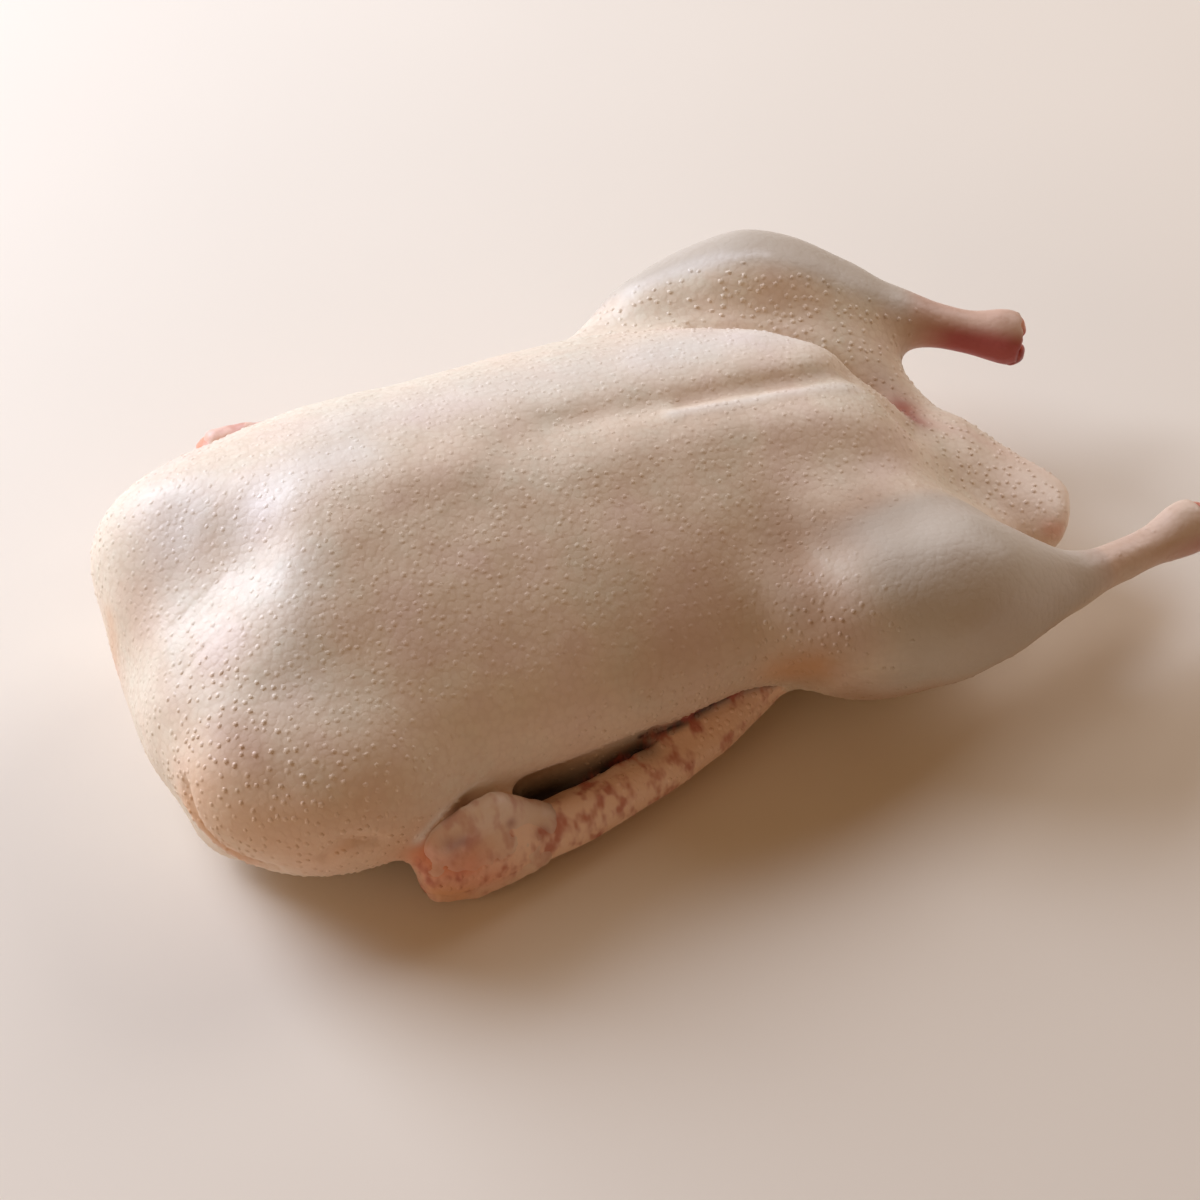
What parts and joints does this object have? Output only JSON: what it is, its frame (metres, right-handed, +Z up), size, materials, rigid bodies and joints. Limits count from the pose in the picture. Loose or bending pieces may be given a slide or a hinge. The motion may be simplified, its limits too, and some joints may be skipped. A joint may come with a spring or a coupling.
{
  "type": "whole raw duck",
  "caption": "Whole plucked and dressed raw duck lying on its back, breast up, wings folded forward and cut at the wrists, legs pointing back, feet and neck removed.",
  "frame": {"origin": "on the table under the middle of the duck's outline", "axes": "+X from the neck end to the tail and legs, +Z up through the breast, -Y towards the duck's right side"},
  "size_m": [0.3744, 0.2164, 0.1056],
  "materials": {
    "skin": "satin"
  },
  "bodies": {
    "root": {"duck": "skin"}
  },
  "joints": []
}
